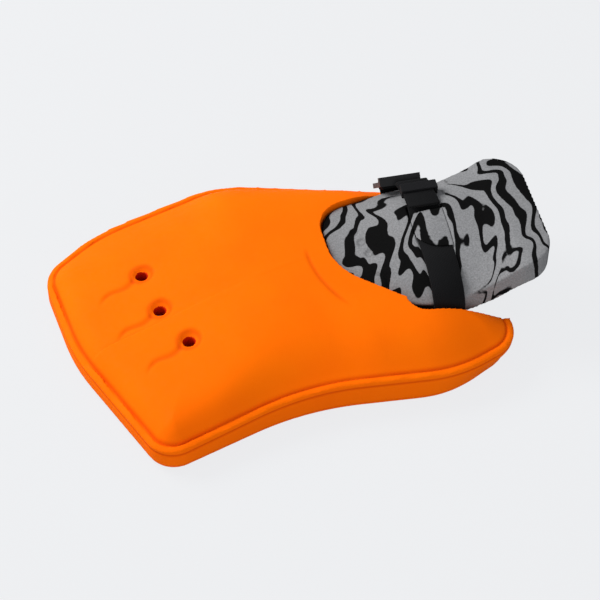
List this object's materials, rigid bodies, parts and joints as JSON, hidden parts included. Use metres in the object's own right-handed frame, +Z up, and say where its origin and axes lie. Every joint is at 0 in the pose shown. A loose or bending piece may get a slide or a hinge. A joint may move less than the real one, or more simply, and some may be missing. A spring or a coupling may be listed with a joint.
{
  "type": "hand protector",
  "caption": "Left-hand foam blocking board with a hand pocket, a hinged arched wrist guard, a webbing wrist strap and a ladder-lock buckle.",
  "frame": {"origin": "middle of the whole piece's footprint, on its resting face", "axes": "+X from the fingertips to the wrist, +Y to the little-finger side, +Z up to the ball side"},
  "size_m": [0.3314, 0.2343, 0.072],
  "materials": {
    "foam_orange": "closed-cell moulded foam, fine skin, matt",
    "foam_marbled": "closed-cell foam, grey with near-black marbling, matt",
    "lining_black": "knitted lining on thin foam",
    "webbing_black": "woven polypropylene webbing",
    "elastic_black": "ribbed knitted elastic",
    "hook_loop_black": "hook and loop fastener",
    "plastic_black": "moulded acetal, fine satin",
    "plastic_plate": "flat polyethylene sheet"
  },
  "bodies": {
    "board": {"face_foam": "foam_orange", "base_foam": "foam_orange", "palm_stiffener": "plastic_plate", "palm_lining": "lining_black", "hand_back_panel": "lining_black", "index_loop": "elastic_black", "middle_loop": "elastic_black", "ring_loop": "elastic_black", "little_loop": "elastic_black", "thumb_loop": "elastic_black", "hand_strap": "webbing_black", "strap_ring": "plastic_black", "ring_anchor": "webbing_black", "tip_loop_patch": "hook_loop_black"},
    "strap_tab": {"hand_strap_tab": "hook_loop_black"},
    "guard": {"guard_shell": "foam_marbled", "guard_bridge": "foam_marbled", "guard_lining": "lining_black", "tip_hook_patch": "hook_loop_black", "wrist_strap": "webbing_black", "strap_tail": "webbing_black"},
    "buckle": {"buckle_frame": "plastic_black", "strap_wrap": "webbing_black"},
    "keeper": {"strap_keeper": "elastic_black"}
  },
  "joints": [
    {"name": "guard_flex", "type": "hinge", "parent": "board", "child": "guard", "pos_m": [0.02, -0.007, 0.0485], "axis": [-0.2419, -0.9703, 0], "range_deg": [0, 20]},
    {"name": "buckle_tilt", "type": "hinge", "parent": "guard", "child": "buckle", "pos_m": [0.09188, 0.04155, 0.0485], "axis": [-0.9703, 0.2419, 0], "range_deg": [0, 45]},
    {"name": "keeper_slide", "type": "slide", "parent": "guard", "child": "keeper", "axis": [0.2419, 0.9703, 0], "range_m": [-0.0015, 0.004]},
    {"name": "tab_peel", "type": "hinge", "parent": "board", "child": "strap_tab", "pos_m": [0.03019, 0.0168, 0.0022], "axis": [0.9848, -0.1736, 0], "range_deg": [0, 80]}
  ]
}
